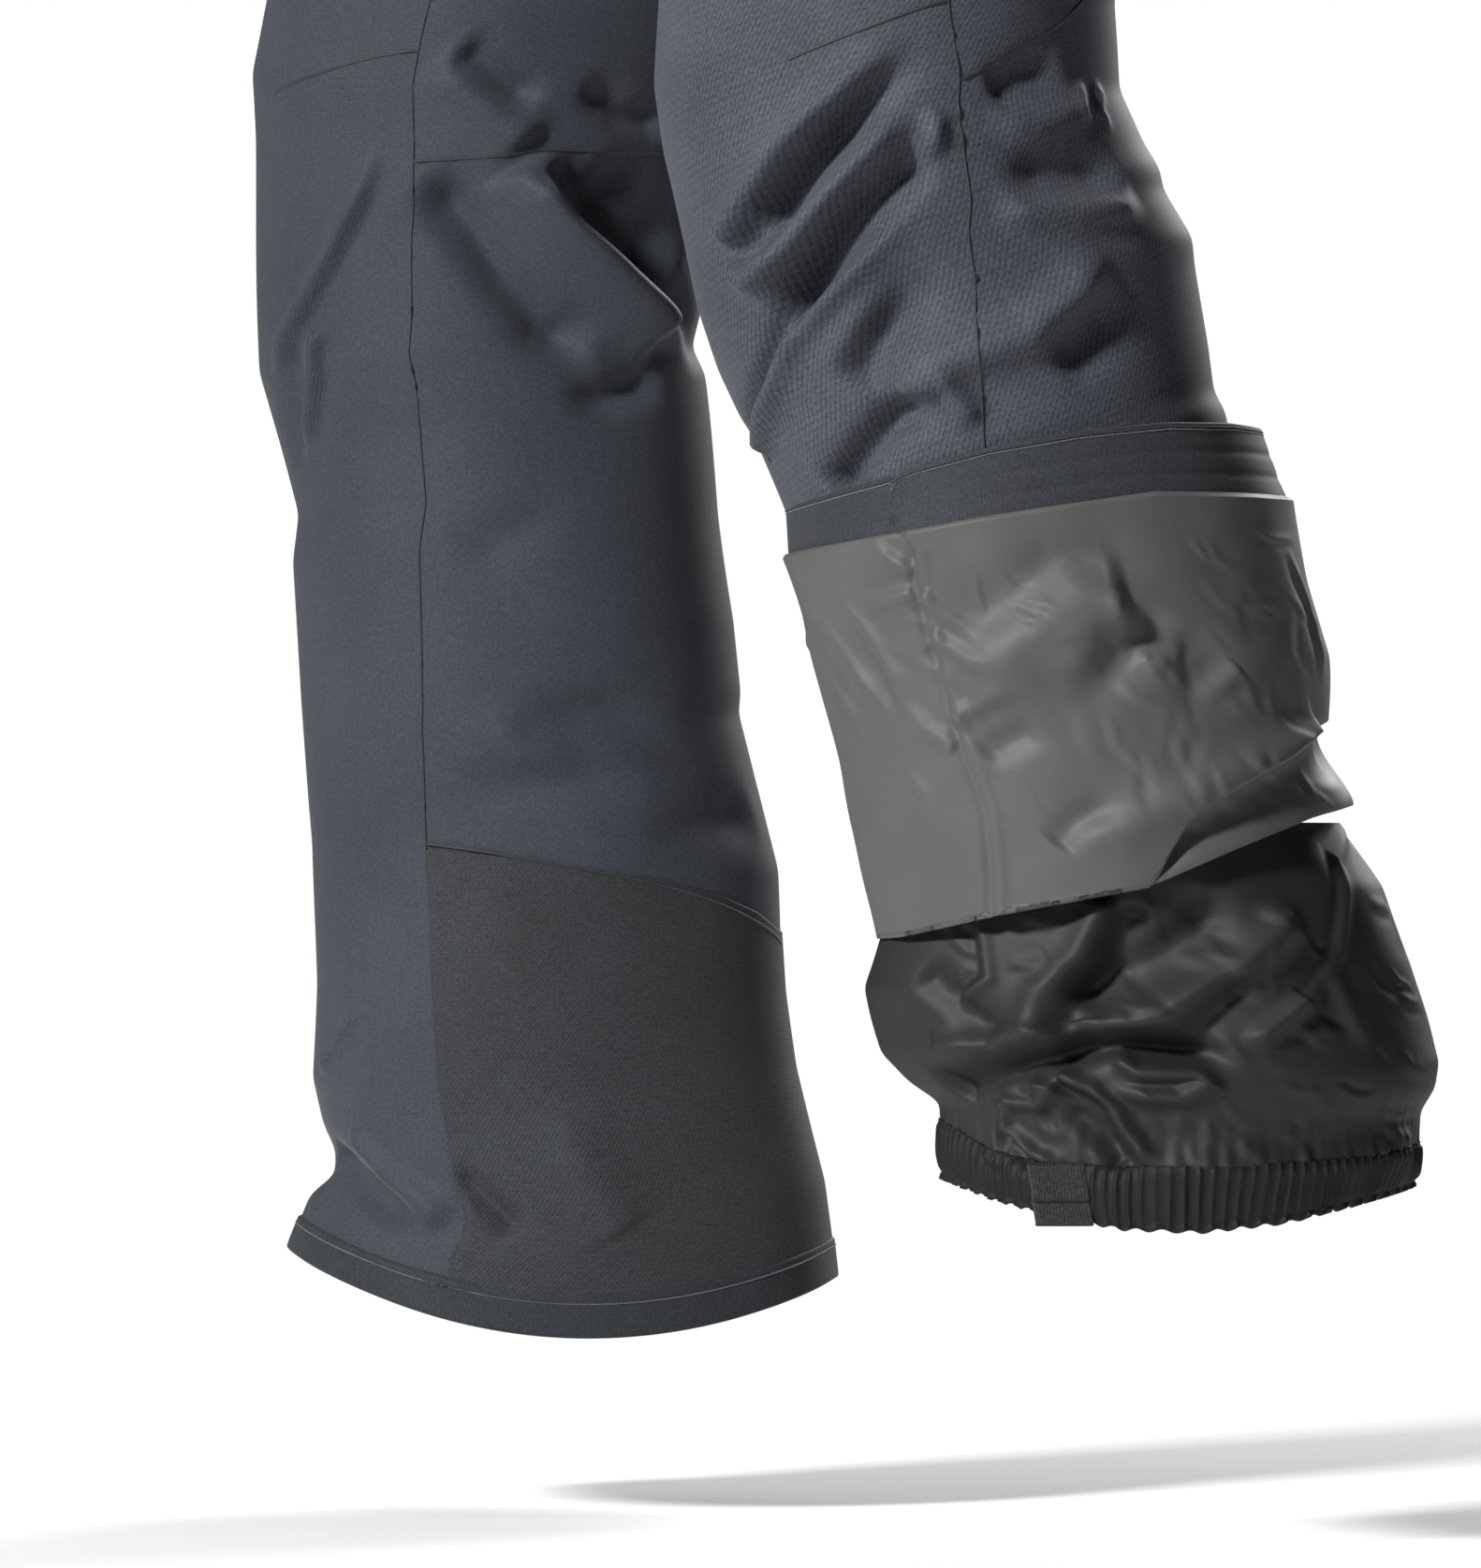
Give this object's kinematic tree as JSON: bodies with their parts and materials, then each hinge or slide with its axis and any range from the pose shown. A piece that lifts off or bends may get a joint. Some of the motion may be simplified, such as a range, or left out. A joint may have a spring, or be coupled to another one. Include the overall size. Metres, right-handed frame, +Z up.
{
  "type": "ski trousers",
  "caption": "Insulated ski trousers with inner gaiters, one hem turned up; legs bend at hip and knee, zips, snap and adjusters work.",
  "frame": {"origin": "centre of the waist opening's top edge", "axes": "+Z up out of the waist opening, -Y the way the wearer faces, +X the wearer's left"},
  "size_m": [0.4116, 0.4191, 1.0564],
  "materials": {
    "shell_left": "woven face fabric, matt",
    "shell_right": "woven face fabric, matt",
    "facing": "twill, matt",
    "trim": "twill, matt",
    "patch": "dense twill, matt",
    "lining": "taffeta, satin",
    "gaiter": "coated nylon, satin",
    "webbing": "ribbed webbing, satin",
    "zip_tape": "woven tape, matt",
    "zip_metal": "satin",
    "snap": "satin"
  },
  "bodies": {
    "seat": {"waistband": "facing", "waist_facing": "facing", "belt_loop_front_left": "trim", "belt_loop_front_right": "trim", "belt_loop_back_left": "trim", "belt_loop_back_right": "trim", "snap_socket": "snap", "fly_zip": "zip_tape", "fly_shield": "facing", "seat_front_left": "shell_left", "seat_front_right": "shell_right", "seat_back_left": "shell_left", "seat_back_right": "shell_right", "crotch_gusset": "trim", "pocket_zip_left": "zip_tape", "pocket_zip_right": "zip_tape", "pocket_bag_left": "lining", "pocket_bag_right": "lining"},
    "waist_tab": {"waist_tab": "facing", "snap_cap": "snap"},
    "fly_slider": {"fly_slider": "zip_metal"},
    "fly_puller": {"fly_puller": "zip_metal"},
    "adjuster_left": {"waist_adjuster_left": "trim"},
    "pocket_slider_left": {"pocket_slider_left": "zip_metal"},
    "pocket_puller_left": {"pocket_puller_left": "zip_metal"},
    "thigh_left": {"hip_front_left": "shell_left", "hip_back_left": "shell_left", "thigh_front_left": "shell_left", "thigh_back_left": "shell_left", "vent_zip_left": "zip_tape"},
    "vent_slider_left": {"vent_slider_left": "zip_metal"},
    "shin_left": {"knee_left": "shell_left", "shin_front_left": "shell_left", "shin_back_left": "shell_left", "kick_patch_left": "patch", "gaiter_skirt_left": "gaiter", "cuff_hem_left": "facing", "cuff_lining_left": "lining"},
    "gaiter_left": {"gaiter_band_left": "gaiter", "gaiter_tab_left": "webbing"},
    "adjuster_right": {"waist_adjuster_right": "trim"},
    "pocket_slider_right": {"pocket_slider_right": "zip_metal"},
    "pocket_puller_right": {"pocket_puller_right": "zip_metal"},
    "thigh_right": {"hip_front_right": "shell_right", "hip_back_right": "shell_right", "thigh_front_right": "shell_right", "thigh_back_right": "shell_right", "vent_zip_right": "zip_tape"},
    "vent_slider_right": {"vent_slider_right": "zip_metal"},
    "shin_right": {"knee_right": "shell_right", "shin_front_right": "shell_right", "shin_back_right": "shell_right", "kick_patch_right": "patch", "gaiter_skirt_right": "gaiter", "hem_band_right": "trim", "leg_lining_right": "lining"},
    "gaiter_right": {"gaiter_band_right": "gaiter", "gaiter_tab_right": "webbing"}
  },
  "joints": [
    {"name": "hip_left", "type": "hinge", "parent": "seat", "child": "thigh_left", "pos_m": [0, 0.004, -0.2], "axis": [1, 0, 0], "range_deg": [-60, 15], "deforming": ["hip_front_left", "hip_back_left"]},
    {"name": "knee_left", "type": "hinge", "parent": "thigh_left", "child": "shin_left", "pos_m": [0, 0.004, -0.6], "axis": [1, 0, 0], "range_deg": [-12, 50], "deforming": ["knee_left"]},
    {"name": "gaiter_left_slide", "type": "slide", "parent": "shin_left", "child": "gaiter_left", "axis": [0, -0.2489, 0.9685], "range_m": [-0.02, 0.03], "deforming": ["gaiter_skirt_left"]},
    {"name": "hip_right", "type": "hinge", "parent": "seat", "child": "thigh_right", "pos_m": [0, 0.004, -0.2], "axis": [1, 0, 0], "range_deg": [-42, 28], "deforming": ["hip_front_right", "hip_back_right"]},
    {"name": "knee_right", "type": "hinge", "parent": "thigh_right", "child": "shin_right", "pos_m": [0, -0.148, -0.6], "axis": [1, 0, 0], "range_deg": [-20, 40], "deforming": ["knee_right"]},
    {"name": "gaiter_right_slide", "type": "slide", "parent": "shin_right", "child": "gaiter_right", "axis": [0, -0.0718, 0.9974], "range_m": [-0.02, 0.03], "deforming": ["gaiter_skirt_right"]},
    {"name": "fly_slider_slide", "type": "slide", "parent": "seat", "child": "fly_slider", "axis": [0, -0.1209, -0.9927], "range_m": [0, 0.118]},
    {"name": "fly_puller_swing", "type": "hinge", "parent": "fly_slider", "child": "fly_puller", "pos_m": [0, -0.11796, -0.05611], "axis": [-1, 0, 0], "range_deg": [0, 120]},
    {"name": "pocket_slider_left_slide", "type": "slide", "parent": "seat", "child": "pocket_slider_left", "axis": [0.2401, -0.0986, -0.9657], "range_m": [0, 0.105]},
    {"name": "pocket_puller_left_swing", "type": "hinge", "parent": "pocket_slider_left", "child": "pocket_puller_left", "pos_m": [0.14297, -0.06359, -0.06432], "axis": [-0.6191, -0.7818, -0.074], "range_deg": [0, 120]},
    {"name": "vent_slider_left_slide", "type": "slide", "parent": "thigh_left", "child": "vent_slider_left", "axis": [-0.0491, 0, -0.9988], "range_m": [0, 0.12]},
    {"name": "pocket_slider_right_slide", "type": "slide", "parent": "seat", "child": "pocket_slider_right", "axis": [-0.2401, -0.0986, -0.9657], "range_m": [0, 0.105]},
    {"name": "pocket_puller_right_swing", "type": "hinge", "parent": "pocket_slider_right", "child": "pocket_puller_right", "pos_m": [-0.14297, -0.06359, -0.06432], "axis": [-0.6191, 0.7818, 0.074], "range_deg": [0, 120]},
    {"name": "vent_slider_right_slide", "type": "slide", "parent": "thigh_right", "child": "vent_slider_right", "axis": [0.0452, -0.3923, -0.9187], "range_m": [0, 0.12]},
    {"name": "waist_tab_pop", "type": "slide", "parent": "seat", "child": "waist_tab", "axis": [0, -1, 0], "range_m": [0, 0.012]},
    {"name": "waist_adjuster_left_slide", "type": "slide", "parent": "seat", "child": "adjuster_left", "axis": [0, -1, 0], "range_m": [0, 0.03]},
    {"name": "waist_adjuster_right_slide", "type": "slide", "parent": "seat", "child": "adjuster_right", "axis": [0, -1, 0], "range_m": [0, 0.03]}
  ]
}
